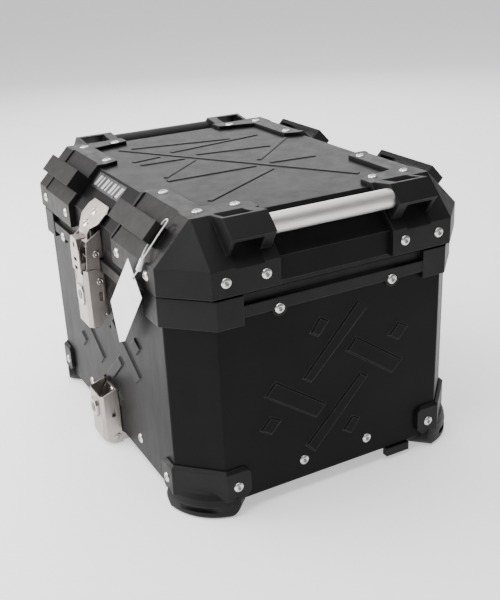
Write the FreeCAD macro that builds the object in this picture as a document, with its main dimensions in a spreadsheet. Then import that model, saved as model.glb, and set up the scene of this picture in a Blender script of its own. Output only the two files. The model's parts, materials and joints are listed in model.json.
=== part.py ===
import FreeCAD, Part
import math
import os
import re
import Sketcher

# Aluminium motorcycle top case. Millimetres, +Z up, z = 0 on the surface that the feet stand on.
# +X is the side with the bright carry handle, -Y the front with the latches, +Y the hinge side.

SIZES = {
    "tub": {
        "wall_x": 199, "wall_y": 159.6, "wall_corner": 36.5, "sheet": 1.5,
        "tub_bottom": 13, "wall_top": 213, "bend": 3, "press_high": 1.8, "lid_press_high": 1,
        "press_scale": 1, "wall_press_z": 115, "front_stretch": 1.2,
    },
    "rim": {
        "rim_out": 4, "cap_out": 4.8, "rim_low": 203.8, "rim_step": 215, "cap_low": 197, "cap_top": 225.2,
        "neck_in": 1, "neck_top": 224, "rim_in": 6, "cap_end_x": 136, "cap_end_y": 98.5,
        "tab_x": 107, "tab_y": 62, "rim_rivet_z": 204.3, "tab_round": 7.5,
    },
    "lid": {
        "lid_low": 228.5, "lid_bend": 252, "lid_top": 287, "lid_inset": 33, "lid_top_corner": 6,
        "frame_low": 224.6, "frame_high": 234, "frame_wide": 14, "seal_high": 3,
    },
    "guard": {
        "guard_x": 205, "guard_y": 165.7, "guard_corner": 36.6, "guard_low": 227.6, "guard_bend": 253.4,
        "guard_top": 291, "guard_inset": 36.6, "guard_tip": 1, "arm_x": 62, "arm_y": 61,
        "plate_in_x": 139.6, "plate_in_y": 104.8,
    },
    "strap_loops": {
        "front_loop_out": 14.5, "side_loop_out": 20.5, "loop_wall": 4.5,
        "front_loop_face": 148.5, "side_loop_start": 65, "side_loop_end": 118,
        "side_loop_face": 109, "front_slot_start": 66.5, "front_slot_end": 144,
        "side_slot_start": 76, "side_slot_end": 105, "loop_recess": 1.2,
    },
    "handle": {"tube_x": 192.4, "tube_z": 281.1, "tube_r": 9.5, "tube_wall": 2, "tube_end": 73},
    "foot": {
        "foot_out": 4.4, "foot_top": 51, "foot_side_low": 19, "foot_end_x": 140, "foot_end_y": 99,
        "foot_lip": 3, "foot_pad_r": 60, "foot_pad_in": 50, "foot_pad_high": 31,
        "foot_pad_wide": 38, "foot_pad_tall": 22, "foot_pad_mid": 14,
    },
    "rivet": {"head_r": 5.1, "head_high": 1.7, "shank_r": 2.4, "recess_r": 2.2},
    "upper_latch": {
        "latch_half": 18, "plate": 1.5, "lever_low": 143, "lever_front": 181.5,
        "pivot_y": -167, "pivot_z": 222, "link_y": -166.2, "link_z": 192.3, "pin_r": 2.5,
        "lock_z": 176, "lock_r": 8.5, "hook_low": 202, "hook_top": 238.5,
    },
    "lower_latch": {
        "low_pivot_y": -165.5, "low_pivot_z": 9, "low_top": 64, "low_front": 181, "low_lock_z": 43,
        "claw_long": 58,
    },
    "hinge": {"hinge_y": 168, "hinge_z": 220.5, "knuckle_r": 4, "hinge_half": 54, "leaf": 2,
              "hinge_rivet_z": 190, "lid_hinge_rivet_z": 242},
}

doc = FreeCAD.newDocument("top_case")
dims = doc.addObject("Spreadsheet::Sheet", "dims")
VALUE = {}
row = 0
for group, sizes in SIZES.items():
    row += 1
    dims.set(f"A{row}", f"'{group}")
    for alias, value in sizes.items():
        row += 1
        dims.set(f"A{row}", f"'{alias}")
        dims.set(f"B{row}", str(value))
        dims.setAlias(f"B{row}", alias)
        VALUE[alias] = value
doc.recompute()


def linked(text):
    """Turn plain names of sizes into references to the spreadsheet."""
    return re.sub(r"[a-z][a-z_]*", lambda m: f"dims.{m.group()}" if m.group() in VALUE else m.group(),
                  str(text))


def number(text):
    """Value of an expression of sizes."""
    return float(dims.evalExpression(linked(text)))


def vector(x, y, z):
    return FreeCAD.Vector(number(x), number(y), number(z))


# ---- drawing ----

TURNS = {
    "XY": FreeCAD.Rotation(),
    "XZ": FreeCAD.Rotation(FreeCAD.Vector(1, 0, 0), 90),
    "YZ": FreeCAD.Rotation(FreeCAD.Vector(1, 1, 1), 120),
}
AXIS = {"XY": "z", "XZ": "y", "YZ": "x"}


def draw(sketch, outlines, circles=()):
    """Closed outlines and circles whose places are bound to the sizes."""
    for points in outlines:
        first = sketch.GeometryCount
        count = len(points)
        places = [(number(x), number(y)) for x, y in points]
        for here, there in zip(places, places[1:] + places[:1]):
            sketch.addGeometry(Part.LineSegment(FreeCAD.Vector(*here, 0), FreeCAD.Vector(*there, 0)))
        for i in range(count):
            sketch.addConstraint(Sketcher.Constraint("Coincident", first + i, 2, first + (i + 1) % count,
                                                     1))
        for i, (point, place) in enumerate(zip(points, places)):
            fix_point(sketch, first + i, 1, point, place)
    for x, y, radius in circles:
        centre = (number(x), number(y))
        shape = Part.Circle(FreeCAD.Vector(*centre, 0), FreeCAD.Vector(0, 0, 1), number(radius))
        index = sketch.addGeometry(shape)
        fix_point(sketch, index, 3, (x, y), centre)
        bound = sketch.addConstraint(Sketcher.Constraint("Radius", index, number(radius)))
        sketch.setExpression(f"Constraints[{bound}]", linked(radius))


def fix_point(sketch, index, end, point, place):
    for kind, text, value, axis in zip(("DistanceX", "DistanceY"), point, place, (-2, -1)):
        if abs(value) < 1e-9:
            sketch.addConstraint(Sketcher.Constraint("PointOnObject", index, end, axis))
        else:
            bound = sketch.addConstraint(Sketcher.Constraint(kind, -1, 1, index, end, value))
            sketch.setExpression(f"Constraints[{bound}]", linked(text))


def sheet_sketch(name, plane, level, outlines, circles=()):
    """A sketch on a plane parallel to XY, XZ or YZ, at the given level."""
    sketch = doc.addObject("Sketcher::SketchObject", name)
    sketch.Placement = FreeCAD.Placement(FreeCAD.Vector(), TURNS[plane])
    sketch.setExpression(f"Placement.Base.{AXIS[plane]}", linked(level))
    draw(sketch, outlines, circles)
    return sketch


PLANE_NORMALS = {
    "XY": FreeCAD.Vector(0, 0, 1),
    "XZ": FreeCAD.Vector(0, -1, 0),
    "YZ": FreeCAD.Vector(1, 0, 0),
}


def block(name, plane, low, high, outlines, circles=(), taper=0):
    """Outlines pushed from level low to level high along the plane's axis."""
    sketch = sheet_sketch(name + "_outline", plane, low, outlines, circles)
    solid = doc.addObject("Part::Extrusion", name)
    solid.Base = sketch
    solid.DirMode = "Custom"
    solid.Dir = PLANE_NORMALS[plane]
    solid.setExpression("LengthFwd",
                        linked(f"({low}) - ({high})" if plane == "XZ" else f"({high}) - ({low})"))
    solid.TaperAngle = taper
    solid.Solid = True
    return solid


def rod(name, axis, start, length, radius):
    """A cylinder along +X, +Y or +Z from a start point."""
    solid = doc.addObject("Part::Cylinder", name)
    solid.setExpression("Radius", linked(radius))
    solid.setExpression("Height", linked(length))
    turn = {"X": (FreeCAD.Vector(0, 1, 0), 90), "Y": (FreeCAD.Vector(1, 0, 0), -90),
            "Z": (FreeCAD.Vector(0, 0, 1), 0)}
    solid.Placement = FreeCAD.Placement(vector(*start), FreeCAD.Rotation(*turn[axis]))
    for side, text in zip("xyz", start):
        solid.setExpression(f"Placement.Base.{side}", linked(text))
    return solid


def join(name, *shapes):
    solid = doc.addObject("Part::MultiFuse", name)
    solid.Shapes = list(shapes)
    return solid


def cut(name, base, *tools):
    solid = doc.addObject("Part::Cut", name)
    solid.Base = base
    solid.Tool = tools[0] if len(tools) == 1 else join(name + "_tools", *tools)
    return solid


def common(name, *shapes):
    solid = doc.addObject("Part::MultiCommon", name)
    solid.Shapes = list(shapes)
    return solid


def mirrored(name, source, normal):
    solid = doc.addObject("Part::Mirroring", name)
    solid.Source = source
    solid.Normal = FreeCAD.Vector(*normal)
    return solid


def loft(name, *sections):
    solid = doc.addObject("Part::Loft", name)
    solid.Sections = list(sections)
    solid.Solid = True
    solid.Ruled = True
    return solid


# ---- outlines ----

def octagon(x, y, corner):
    """Rectangle of half sides x and y with its corners cut off."""
    side, end = f"({y}) - ({corner})", f"({x}) - ({corner})"
    return [(x, f"-({side})"), (x, side), (end, y), (f"-({end})", y),
            (f"-({x})", side), (f"-({x})", f"-({side})"), (f"-({end})", f"-({y})"), (end, f"-({y})")]


def rectangle(x0, x1, y0, y1):
    return [(x0, y0), (x1, y0), (x1, y1), (x0, y1)]


def bevelled(name, x, y, corner, low, bend, top, inset, tip):
    """An octagonal block whose upper part slopes in on all sides to a smaller top."""
    band = block(name + "_band", "XY", low, bend, [octagon(x, y, corner)])
    foot = sheet_sketch(name + "_bend", "XY", bend, [octagon(x, y, corner)])
    head = sheet_sketch(name + "_top", "XY", top, [octagon(f"{x} - ({inset})", f"{y} - ({inset})", tip)])
    return join(name, band, loft(name + "_slope", foot, head))


pieces = []


def piece(solid, label):
    solid.Label = label
    pieces.append(solid)
    return solid


# ---- PartDesign helpers: a body grows by pads and loses by pockets between two levels ----

class Piece:
    """A PartDesign body built from prisms along X, Y or Z."""

    def __init__(self, label, kept=True):
        self.body = doc.addObject("PartDesign::Body", label)
        if kept:
            piece(self.body, label)

    def sketch(self, plane, level, outlines, circles=()):
        sketch = self.body.newObject("Sketcher::SketchObject", "outline")
        role = f"{plane}_Plane"
        support = [feature for feature in self.body.Origin.OriginFeatures if feature.Role == role][0]
        sketch.AttachmentSupport = (support, "")
        sketch.MapMode = "FlatFace"
        sign = "-" if plane == "XZ" else ""
        sketch.setExpression("AttachmentOffset.Base.z", linked(f"{sign}({level})"))
        draw(sketch, outlines, circles)
        return sketch

    def prism(self, kind, plane, low, high, outlines, circles=()):
        doc.recompute()
        before = self.body.Shape.Volume if self.body.Tip else 0
        sketch = self.sketch(plane, low, outlines, circles)
        feature = self.body.newObject(f"PartDesign::{kind}", kind.lower())
        feature.Profile = sketch
        feature.setExpression("Length", linked(f"({high}) - ({low})"))
        feature.Reversed = (plane == "XZ") == (kind == "Pad")
        doc.recompute()
        change = self.body.Shape.Volume - before
        if abs(change) < 0.01 or (change > 0) != (kind == "Pad"):
            raise RuntimeError(f"{self.body.Label}: {kind} changed nothing")
        return feature

    def pad(self, plane, low, high, outlines, circles=()):
        return self.prism("Pad", plane, low, high, outlines, circles)

    def pocket(self, plane, low, high, outlines, circles=()):
        return self.prism("Pocket", plane, low, high, outlines, circles)

    def round(self, radius, chosen):
        """Fillet the edges that the test picks."""
        doc.recompute()
        base = self.body.Tip
        names = [f"Edge{i + 1}" for i, edge in enumerate(base.Shape.Edges) if chosen(edge)]
        feature = self.body.newObject("PartDesign::Fillet", "fillet")
        feature.Base = (base, names)
        feature.setExpression("Radius", linked(radius))
        doc.recompute()
        return feature


def upright(edge):
    return abs(edge.tangentAt(edge.FirstParameter).z) > 0.999


def at_level(height):
    level = number(height)
    return lambda edge: abs(edge.BoundBox.ZMin - level) < 0.01 and abs(edge.BoundBox.ZMax - level) < 0.01


# ---- pressed ribs ----

# Corners of the wall's ribs about the pattern's centre; the other half is the same turned half round.
WALL_RIBS = [
    [(-38, 9), (-28, 2), (36, 65), (25, 76)],
    [(11, 25), (67, -15), (80, -2), (23, 38)],
    [(-29, 54), (-19, 48), (-7, 62), (-18, 69)],
    [(61, 28), (74, 20), (86, 33), (73, 41)],
]
# Lid ribs: the two ends of each rib's long side.
LID_RIBS = [
    ((-123, -84), (125, 77)), ((-119, -68), (-93, 48)), ((-74, -37), (-91, 84)), ((-48, -19), (-33, 68)),
    ((33, 29), (38, 84)), ((-58, -89), (-64, -54)), ((-42, -88), (-39, -36)), ((35, -90), (36, 12)),
    ((22, -84), (-27, -28)), ((16, 28), (-58, 106)), ((122, -84), (56, 22)),
]
RIB_WIDE = 7


def wall_ribs(stretch):
    """Outlines of the wall's ribs, along the wall and up it."""
    outlines = []
    for turn in (1, -1):
        for corners in WALL_RIBS:
            outlines.append([(f"{turn * a} * press_scale * ({stretch})",
                              f"wall_press_z + {turn * b} * press_scale")
                             for a, b in corners])
    return outlines


def lid_ribs():
    """Outlines of the lid's ribs, each a narrow strip with square ends."""
    outlines = []
    for (x0, y0), (x1, y1) in LID_RIBS:
        length = math.hypot(x1 - x0, y1 - y0)
        across_x, across_y = -(y1 - y0) / length * RIB_WIDE, (x1 - x0) / length * RIB_WIDE
        if across_x > 0:
            across_x, across_y = -across_x, -across_y
        corners = [(x0, y0), (x1, y1), (x1 + across_x, y1 + across_y), (x0 + across_x, y0 + across_y)]
        outlines.append([(f"{x:.1f} * press_scale", f"{y:.1f} * press_scale") for x, y in corners])
    return outlines


def around(d):
    """The tub's outline moved outward by d."""
    return octagon(f"wall_x + ({d})", f"wall_y + ({d})", f"wall_corner + ({d}) * 0.586")


def ring(name, low, high, outer, inner):
    """A band that follows the tub's outline between two offsets."""
    return block(name, "XY", low, high, [around(outer), around(inner)])


def spread(values):
    """Each value on both sides of zero."""
    return [f"{sign}({value})" for value in values for sign in ("", "-")]


def drill(name, plane, reach, places, radius="shank_r + 0.05"):
    """Straight holes through both walls of the case at the same places."""
    circles = [(a, b, radius) for a, b in places]
    return block(name, plane, f"-({reach})", reach, [], circles)


TOP_RIVETS = [(151.1, 113.2), (76.6, 113.2), (151.1, 75.5)]
LID_SIDE_RIVETS = [114.9, 75.1]
LID_FRONT_RIVETS = [148.9, 77.5]
LID_RIVET_Z = 241.1
FOOT_SIDE_RIVET = 112.7
FOOT_FRONT_RIVET = 151.3
FOOT_RIVET_Z = 32.1
BASE_SIDE_RIVET = 37.3
BASE_FRONT_RIVET = 74.5
BASE_RIVET_Z = 34


def rivet_sketch(name, grip):
    """Half section of a set blind rivet: domed head with a recess above zero, tail below its grip."""
    section = [("0", "head_high * 0.3"), ("recess_r", "head_high * 0.3"), ("recess_r", "head_high * 0.9"),
               ("recess_r + 0.4", "head_high"), ("head_r * 0.65", "head_high * 0.85"),
               ("head_r * 0.9", "head_high * 0.45"), ("head_r", "0"), ("shank_r", "0"),
               ("shank_r", f"-({grip})"),
               ("shank_r + 1", f"-({grip})"), ("shank_r + 0.7", f"-({grip}) - 2"), ("0", f"-({grip}) - 2")]
    return sheet_sketch(name + "_section", "XZ", "0", [section])


def rivets(name, grip, places):
    """Rivets of one grip; each place is the head's seat and its outward direction."""
    section = rivet_sketch(name, grip)
    solids = []
    for index, (x, y, z, outward) in enumerate(places):
        solid = doc.addObject("Part::Revolution", f"{name}_{index}")
        solid.Source = section
        solid.Axis = FreeCAD.Vector(0, 0, 1)
        solid.Angle = 360
        solid.Solid = True
        turn = FreeCAD.Rotation(FreeCAD.Vector(0, 0, 1), FreeCAD.Vector(*outward))
        solid.Placement = FreeCAD.Placement(vector(x, y, z), turn)
        for side, text in zip("xyz", (x, y, z)):
            solid.setExpression(f"Placement.Base.{side}", linked(text))
        solids.append(solid)
    group = doc.addObject("Part::Compound", name)
    group.Links = solids
    return piece(group, name)


KEEPER_OUT = (0, -0.7123, 0.7018)
KEEPER_SEATS = [("0", "-157.8", "260.68"), ("0", "-168", "250.33")]
KEEPER_GRIP = 6.6


def bore(name, seat, near, far, radius):
    """A round hole through the keeper, between two depths below its face."""
    outward = FreeCAD.Vector(*KEEPER_OUT)
    solid = doc.addObject("Part::Cylinder", name)
    solid.setExpression("Radius", linked(radius))
    solid.Height = far - near
    solid.Placement = FreeCAD.Placement(vector(*seat) - outward * far, FreeCAD.Rotation(FreeCAD.Vector(0, 0,
                                                                                                       1),
                                                                                        outward))
    return solid


def both_sides(x_face, sides, y_face, fronts, z):
    """Rivet places on the two ends and the two long walls."""
    places = [(f"{sign}({x_face})", side, z, (1 if sign == "" else -1, 0, 0))
              for sign in ("", "-") for side in spread(sides)]
    places += [(front, f"{sign}({y_face})", z, (0, 1 if sign == "" else -1, 0))
               for sign in ("", "-") for front in spread(fronts)]
    return places


# ---- the tub and what is fixed inside it ----

def wall_rib_blocks(name, plane, face, stretch):
    outward = -1 if face.startswith("-") else 1
    return [block(f"{name}_rib_{index}", plane, f"{face} - {outward} * 0.2",
                  f"{face} + {outward} * press_high",
                  [outline], taper=-42) for index, outline in enumerate(wall_ribs(stretch))]


def make_tub():
    form = Piece("tub_form", kept=False)
    form.pad("XY", "tub_bottom", "wall_top", [around("0")])
    form.round("bend", upright)
    form.round("bend", at_level("tub_bottom"))
    form.pocket("XY", "tub_bottom + sheet", "wall_top", [around("-sheet")])
    end_ribs = (wall_rib_blocks("right", "YZ", "wall_x", "1") + wall_rib_blocks("left", "YZ", "-wall_x",
                                                                                "-1"))
    long_ribs = join("long_ribs", *wall_rib_blocks("front", "XZ", "-wall_y", "front_stretch"),
                     *wall_rib_blocks("rear", "XZ", "wall_y", "-front_stretch"))
    landing = "latch_half + 5"
    flat_front = block("flat_front", "XZ", "-wall_y - 5", "-wall_y",
                       [rectangle(f"-({landing})", landing, "140", "200"), rectangle(f"-({landing})",
                                                                                     landing, "20", "75")])
    flat_rear = block("flat_rear", "XZ", "wall_y", "wall_y + 5",
                      [rectangle("-(hinge_half + 4)", "hinge_half + 4", "170", "200")])
    walls = join("tub_walls", form.body, *end_ribs, cut("long_ribs_cut", long_ribs, flat_front, flat_rear))
    return cut("case_tub", walls, *tub_holes())


def tub_holes():
    low = [(y, FOOT_RIVET_Z) for y in spread([FOOT_SIDE_RIVET])]
    low += [(y, BASE_RIVET_Z) for y in spread([BASE_SIDE_RIVET])]
    low_front = [(x, FOOT_RIVET_Z) for x in spread([FOOT_FRONT_RIVET])]
    low_front += [(x, BASE_RIVET_Z) for x in spread([BASE_FRONT_RIVET])]
    high = [(y, "rim_rivet_z") for y in spread(["tab_y"])]
    high_front = [(x, "rim_rivet_z") for x in spread(["tab_x"])]
    latch = block("latch_holes", "XZ", "-wall_y - 5", "-wall_y + 5", [],
                  [(x, z, "shank_r + 0.05") for x, z in LATCH_RIVETS + LOW_LATCH_RIVETS])
    hinge = block("hinge_holes", "XZ", "wall_y - 5", "wall_y + 5", [],
                  [(x, "hinge_rivet_z", "shank_r + 0.05") for x in HINGE_RIVETS])
    return [drill("end_holes", "YZ", "wall_x + 9", low + high), drill("long_holes", "XZ", "wall_y + 9",
                                                                      low_front + high_front),
            latch, hinge]


LATCH_RIVETS = [("0", "160"), ("0", "192")]
LOW_LATCH_RIVETS = [("0", "26"), ("0", "56")]
HINGE_RIVETS = ["-42", "-14", "14", "42"]

tub = piece(make_tub(), "case_tub")

frame_band = ring("base_frame_band", "tub_bottom + sheet + 0.1", "42", "-sheet - 0.05", "-sheet - 3.5")
frame_holes = [(y, FOOT_RIVET_Z) for y in spread([FOOT_SIDE_RIVET])]
frame_holes += [(y, BASE_RIVET_Z) for y in spread([BASE_SIDE_RIVET])]
frame_long = [(x, FOOT_RIVET_Z) for x in spread([FOOT_FRONT_RIVET])]
frame_long += [(x, BASE_RIVET_Z) for x in spread([BASE_FRONT_RIVET])]
latch_room = block("latch_tail_room", "XZ", "-wall_y", "-wall_y + 6", [rectangle("-6", "6", "18", "42")])
piece(cut("base_frame", frame_band, drill("frame_end_holes", "YZ", "wall_x + 9", frame_holes),
          drill("frame_long_holes", "XZ", "wall_y + 9", frame_long), latch_room), "base_frame")
piece(block("floor_mat", "XY", "tub_bottom + sheet + 0.05", "tub_bottom + sheet + 2.5",
            [around("-sheet - 7")]),
      "floor_mat")


def make_rim():
    hook = ring("rim_hook", "cap_low", "rim_step", "-sheet - 0.05", "-rim_in")
    band = block("rim_band", "XY", "rim_low", "rim_step", [around("rim_out")])
    neck = block("rim_neck", "XY", "wall_top", "neck_top", [around("-neck_in")])
    tabs_end = block("rim_tabs_end", "YZ", "-wall_x - rim_out", "wall_x + rim_out", [],
                     [(y, "rim_rivet_z", "tab_round") for y in spread(["tab_y"])])
    tabs_long = block("rim_tabs_long", "XZ", "-wall_y - rim_out", "wall_y + rim_out", [],
                      [(x, "rim_rivet_z", "tab_round") for x in spread(["tab_x"])])
    corners = [rectangle(f"{a} * cap_end_x", f"{a} * 220", f"{b} * cap_end_y", f"{b} * 180")
               for a in (1, -1) for b in (1, -1)]
    caps = common("rim_caps", block("rim_cap_form", "XY", "cap_low", "cap_top", [around("cap_out")]),
                  block("rim_cap_places", "XY", "cap_low", "cap_top", corners))
    outside = join("rim_outside", band, neck, tabs_end, tabs_long, caps)
    room = block("rim_room", "XY", "cap_low - 5", "cap_top + 5", [around("-rim_in")])
    wall_slot = block("rim_wall_slot", "XY", "cap_low - 5", "wall_top + 0.1", [around("0.05")])
    lid_room = ring("rim_lid_room", "neck_top", "cap_top + 1", "1.5", "-rim_in - 1")
    whole = join("rim_whole", cut("rim_outer", outside, room, wall_slot, lid_room), hook,
                 ring("rim_bridge", "wall_top + 0.1", "neck_top", "-neck_in", "-rim_in"))
    holes = drill("rim_end_holes", "YZ", "wall_x + 9", [(y, "rim_rivet_z") for y in spread(["tab_y"])])
    holes_long = drill("rim_long_holes", "XZ", "wall_y + 9",
                       [(x, "rim_rivet_z") for x in spread(["tab_x"])])
    return cut("case_rim", whole, holes, holes_long)


piece(make_rim(), "case_rim")
rivets("rim_rivets", "rim_out + rim_in", both_sides("wall_x + rim_out", ["tab_y"], "wall_y + rim_out",
                                                    ["tab_x"],
                                                    "rim_rivet_z"))
rivets("base_rivets", "sheet + 3.5", both_sides("wall_x", [BASE_SIDE_RIVET], "wall_y", [BASE_FRONT_RIVET],
                                                BASE_RIVET_Z))
rivets("foot_rivets", "foot_out + sheet + 3.5",
       both_sides("wall_x + foot_out", [FOOT_SIDE_RIVET], "wall_y + foot_out", [FOOT_FRONT_RIVET],
                  FOOT_RIVET_Z))


# ---- corner feet ----

# The guard's cut corners: name, level and the way its edge faces.
FOOT_ENDS = (("top", "foot_top", "1"), ("low", "foot_side_low", "-1"))


def corner_region(name, low, high, x, y):
    return block(name, "XY", low, high, [rectangle(x, "240", "-200", f"-({y})")])


def make_foot():
    """Guard, foot and lip of the front right corner."""
    plate = block("foot_plate", "XY", "foot_side_low", "foot_top - foot_lip", [around("foot_out")])
    lip_foot = sheet_sketch("foot_lip_foot", "XY", "foot_top - foot_lip", [around("foot_out")])
    lip_head = sheet_sketch("foot_lip_head", "XY", "foot_top", [around("foot_out - foot_lip")])
    shell = common("foot_shell", join("foot_guard_form", plate, loft("foot_lip_form", lip_foot, lip_head)),
                   corner_region("foot_region", "0", "foot_top", "foot_end_x", "foot_end_y"))
    ends = [block(f"foot_end_{name}", "YZ", "wall_x - 3", "wall_x + 12", [[
        ("-foot_end_y + 1", f"{z} + ({way})"), ("-foot_end_y + 1", f"{z} - 7 * ({way})"),
        ("-foot_end_y - 7", f"{z} + ({way})")]]) for name, z, way in FOOT_ENDS]
    ends += [block(f"foot_long_{name}", "XZ", "-wall_y - 12", "-wall_y + 3", [[
        ("foot_end_x - 1", f"{z} + ({way})"), ("foot_end_x - 1", f"{z} - 7 * ({way})"),
        ("foot_end_x + 7", f"{z} + ({way})")]]) for name, z, way in FOOT_ENDS]
    middle = "wall_corner / 2"
    inward = "foot_pad_in * 0.7071"
    dome_section = sheet_sketch("foot_dome_section", "XZ", "0", [[
        ("0", "0"), ("foot_pad_r - 2.5", "0"), ("foot_pad_r", "3"), ("foot_pad_r", "15"),
                                                                  ("foot_pad_r - 0.8", "20.5"),
        ("foot_pad_r - 3", "26"), ("foot_pad_r - 6.5", "foot_pad_high - 1.5"), ("foot_pad_r - 10",
                                                                                "foot_pad_high"),
        ("0", "foot_pad_high")]])
    dome = doc.addObject("Part::Revolution", "foot_dome")
    dome.Source = dome_section
    dome.Axis = FreeCAD.Vector(0, 0, 1)
    dome.Angle = 360
    dome.Solid = True
    centre = (f"wall_x - ({middle}) - ({inward})", f"-(wall_y - ({middle}) - ({inward}))")
    dome.Placement = FreeCAD.Placement(vector(*centre, "0"), FreeCAD.Rotation())
    for side, text in zip("xy", centre):
        dome.setExpression(f"Placement.Base.{side}", linked(text))
    oval = doc.addObject("Part::Ellipse", "foot_pad_oval")
    oval.setExpression("MajorRadius", linked("foot_pad_wide"))
    oval.setExpression("MinorRadius", linked("foot_pad_tall"))
    region = doc.addObject("Part::Extrusion", "foot_pad_region")
    region.Base = oval
    region.DirMode = "Custom"
    region.Dir = FreeCAD.Vector(0, 0, 1)
    region.setExpression("LengthFwd", linked("foot_pad_r + 10"))
    region.Solid = True
    outward = FreeCAD.Rotation(FreeCAD.Vector(1, 1, 0), FreeCAD.Vector(0, 0, 1), FreeCAD.Vector(1, -1, 0),
                               "ZXY")
    region.Placement = FreeCAD.Placement(vector(*centre, "foot_pad_mid"), outward)
    for side, text in zip("xyz", (*centre, "foot_pad_mid")):
        region.setExpression(f"Placement.Base.{side}", linked(text))
    pad = common("foot_pad", dome, region)
    groove = block("foot_groove", "XY", "7", "13", [[
        (f"{centre[0]} + (({a}) + ({b})) * 0.7071", f"{centre[1]} + (({b}) - ({a})) * 0.7071")
        for a, b in [("foot_pad_r - 3.5", "-21"), ("foot_pad_r - 3.5", "21"), ("foot_pad_r + 5", "26"),
                     ("foot_pad_r + 5", "-26")]]])
    tub_space = block("foot_tub_space", "XY", "tub_bottom", "foot_top + 5", [around("0")])
    holes_end = drill("foot_end_hole", "YZ", "wall_x + 9", [(f"-{FOOT_SIDE_RIVET}", FOOT_RIVET_Z)])
    holes_long = drill("foot_long_hole", "XZ", "wall_y + 9", [(FOOT_FRONT_RIVET, FOOT_RIVET_Z)])
    return cut("foot_front_right", join("foot_whole", cut("foot_shell_cut", shell, *ends),
                                        cut("foot_pad_cut", pad, groove)),
               tub_space, holes_end, holes_long)


def four_corners(front_right, label):
    """The part and its mirror images in the other three corners."""
    piece(front_right, f"{label}_front_right")
    piece(mirrored(f"{label}_front_left", front_right, (1, 0, 0)), f"{label}_front_left")
    rear_right = piece(mirrored(f"{label}_rear_right", front_right, (0, 1, 0)), f"{label}_rear_right")
    piece(mirrored(f"{label}_rear_left", rear_right, (1, 0, 0)), f"{label}_rear_left")


four_corners(make_foot(), "foot")


# ---- lid ----

def lid_form(name, d):
    """The lid's outer form, or with a negative d its inner form."""
    corner = f"wall_corner + ({d}) * 0.586"
    return bevelled(name, f"wall_x + ({d})", f"wall_y + ({d})", corner,
                    "lid_low - 0.5" if d != "0" else "lid_low",
                    f"lid_bend + ({d}) * 0.4", f"lid_top + ({d})",
                    "lid_inset - 0.2" if d != "0" else "lid_inset",
                    "lid_top_corner")


def lid_side_holes(name):
    return [drill(name + "_end", "YZ", "wall_x + 15", [(y, LID_RIVET_Z) for y in spread(LID_SIDE_RIVETS)]),
            drill(name + "_long", "XZ", "wall_y + 15",
                  [(x, LID_RIVET_Z) for x in spread(LID_FRONT_RIVETS)])]


def lid_top_holes(name):
    places = [(f"{a}({x})", f"{b}({y})", "shank_r + 0.05")
              for x, y in TOP_RIVETS for a in ("", "-") for b in ("", "-")]
    return block(name, "XY", "lid_top - 9", "guard_top + 5", [], places)


def make_lid():
    ribs = [block(f"lid_rib_{index}", "XY", "lid_top - 0.2", "lid_top + lid_press_high", [outline],
                  taper=-54)
            for index, outline in enumerate(lid_ribs())]
    shell = cut("lid_hollow", lid_form("lid_outside", "0"), lid_form("lid_inside", "-sheet"))
    keeper_hole = bore("lid_keeper_hole", KEEPER_SEATS[0], -1, 12, "shank_r + 0.05")
    hinge_holes = block("lid_hinge_holes", "XZ", "wall_y - 5", "wall_y + 5", [],
                        [(x, "lid_hinge_rivet_z", "shank_r + 0.05") for x in HINGE_RIVETS])
    return cut("lid_shell", join("lid_ribbed", shell, *ribs), *lid_side_holes("lid_holes"),
               lid_top_holes("lid_top_holes"),
               keeper_hole, hinge_holes)


piece(make_lid(), "lid_shell")


def make_lid_frame():
    upper = ring("frame_upper", "lid_low", "frame_high", "-sheet - 0.05", "-frame_wide")
    lower = ring("frame_lower", "frame_low", "lid_low", "-0.3", "-frame_wide")
    groove = ring("frame_groove", "frame_low - 1", "frame_low + seal_high - 1", "-1.9", "-6.1")
    tails = block("frame_tails", "XZ", "-wall_y", "wall_y", [rectangle("-hinge_half", "hinge_half",
                                                                       "frame_high - 1", "250")])
    return cut("lid_frame", join("frame_both", upper, lower), groove, tails)


piece(make_lid_frame(), "lid_frame")
piece(ring("lid_seal", "neck_top + 0.1", "frame_low + seal_high - 1.05", "-2", "-6"), "lid_seal")


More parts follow.
